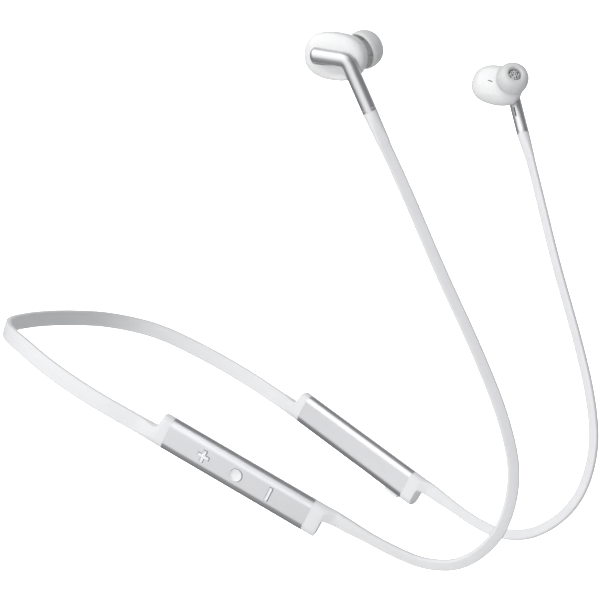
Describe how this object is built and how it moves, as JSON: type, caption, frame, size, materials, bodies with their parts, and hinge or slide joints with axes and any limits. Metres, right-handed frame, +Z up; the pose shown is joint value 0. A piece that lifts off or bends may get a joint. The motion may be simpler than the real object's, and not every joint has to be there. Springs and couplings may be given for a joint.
{
  "type": "neckband earphones",
  "caption": "In-ear earphones on a flat flexible neckband: two slim metal modules, keys, flat cables and angled buds with soft tips.",
  "frame": {"origin": "middle of the neckband's back, inside the ribbon, where the band rests on the nape of the neck", "axes": "+X towards the wearer's front, +Y to the wearer's left, +Z up; the band slopes down to the front and the buds are held up"},
  "size_m": [0.2077, 0.1693, 0.1801],
  "materials": {
    "white_silicone": "satin",
    "white_cable": "satin",
    "grey_silicone": "translucent satin",
    "anodised_aluminium": "fine bead-blasted anodised",
    "stem_metal": "satin polished",
    "shell_gloss": "glossy",
    "key_gloss": "glossy",
    "spring_steel": "brushed",
    "inner_plastic": "matte",
    "circuit_board": "solder mask",
    "shield_can": "tinned",
    "battery_foil": "foil",
    "driver_steel": "plated",
    "dark_film": "matte",
    "fine_mesh": "woven mesh"
  },
  "bodies": {
    "back": {"neckband_back_skin": "white_silicone", "neckband_back_strip": "spring_steel"},
    "right_arm": {"right_neckband_skin": "white_silicone", "right_neckband_strip": "spring_steel", "right_module_sleeve": "anodised_aluminium", "right_chassis": "inner_plastic", "right_front_boot": "white_silicone", "right_cable": "white_cable", "right_strain_relief": "white_silicone", "right_stem": "stem_metal", "right_stem_ring": "stem_metal", "right_outer_shell": "shell_gloss", "right_inner_shell": "shell_gloss", "right_nozzle_mesh": "fine_mesh", "right_driver_magnet": "driver_steel", "right_driver_diaphragm": "dark_film", "right_noise_microphone": "shield_can", "main_board": "circuit_board", "wireless_module": "shield_can", "antenna": "dark_film", "voice_microphone": "shield_can", "key_switches": "inner_plastic"},
    "left_arm": {"left_neckband_skin": "white_silicone", "left_neckband_strip": "spring_steel", "left_module_sleeve": "anodised_aluminium", "left_chassis": "inner_plastic", "left_front_boot": "white_silicone", "left_cable": "white_cable", "left_strain_relief": "white_silicone", "left_stem": "stem_metal", "left_stem_ring": "stem_metal", "left_outer_shell": "shell_gloss", "left_inner_shell": "shell_gloss", "left_nozzle_mesh": "fine_mesh", "left_driver_magnet": "driver_steel", "left_driver_diaphragm": "dark_film", "left_noise_microphone": "shield_can", "battery": "battery_foil", "charging_board": "circuit_board", "charging_socket": "shield_can", "mode_switch": "inner_plastic"},
    "plus": {"plus_key": "key_gloss"},
    "round": {"round_key": "key_gloss"},
    "minus": {"minus_key": "key_gloss"},
    "mode": {"mode_button": "key_gloss"},
    "port_flap": {"port_cover": "white_silicone"},
    "right_tip": {"right_ear_tip": "grey_silicone"},
    "left_tip": {"left_ear_tip": "grey_silicone"}
  },
  "joints": [
    {"name": "right_arm_flex", "type": "hinge", "parent": "back", "child": "right_arm", "pos_m": [0.0188, -0.05297, -0.00688], "axis": [-0.4633, 0, -0.8862], "range_deg": [-8, 20], "stiffness_Nm_per_rad": 0.12},
    {"name": "left_arm_flex", "type": "hinge", "parent": "back", "child": "left_arm", "pos_m": [0.0188, 0.05297, -0.00688], "axis": [0.4633, 0, 0.8862], "range_deg": [-8, 20], "stiffness_Nm_per_rad": 0.12},
    {"name": "plus_press", "type": "slide", "parent": "right_arm", "child": "plus", "axis": [-0.1525, 0.9807, 0.1221], "range_m": [0, 0.00025], "stiffness_N_per_m": 400},
    {"name": "round_press", "type": "slide", "parent": "right_arm", "child": "round", "axis": [-0.1525, 0.9807, 0.1221], "range_m": [0, 0.00025], "stiffness_N_per_m": 400},
    {"name": "minus_press", "type": "slide", "parent": "right_arm", "child": "minus", "axis": [-0.1525, 0.9807, 0.1221], "range_m": [0, 0.00025], "stiffness_N_per_m": 400},
    {"name": "mode_press", "type": "slide", "parent": "left_arm", "child": "mode", "axis": [0.4945, 0.0312, 0.8686], "range_m": [0, 0.00025], "stiffness_N_per_m": 400},
    {"name": "port_cover_open", "type": "hinge", "parent": "left_arm", "child": "port_flap", "pos_m": [0.1062, 0.05183, -0.05735], "axis": [0.1525, 0.9807, -0.1221], "range_deg": [0, 95]},
    {"name": "right_tip_off", "type": "slide", "parent": "right_arm", "child": "right_tip", "axis": [0.389, 0.8168, 0.426], "range_m": [0, 0.006]},
    {"name": "left_tip_off", "type": "slide", "parent": "left_arm", "child": "left_tip", "axis": [0.5309, -0.7525, 0.3898], "range_m": [0, 0.006]}
  ]
}
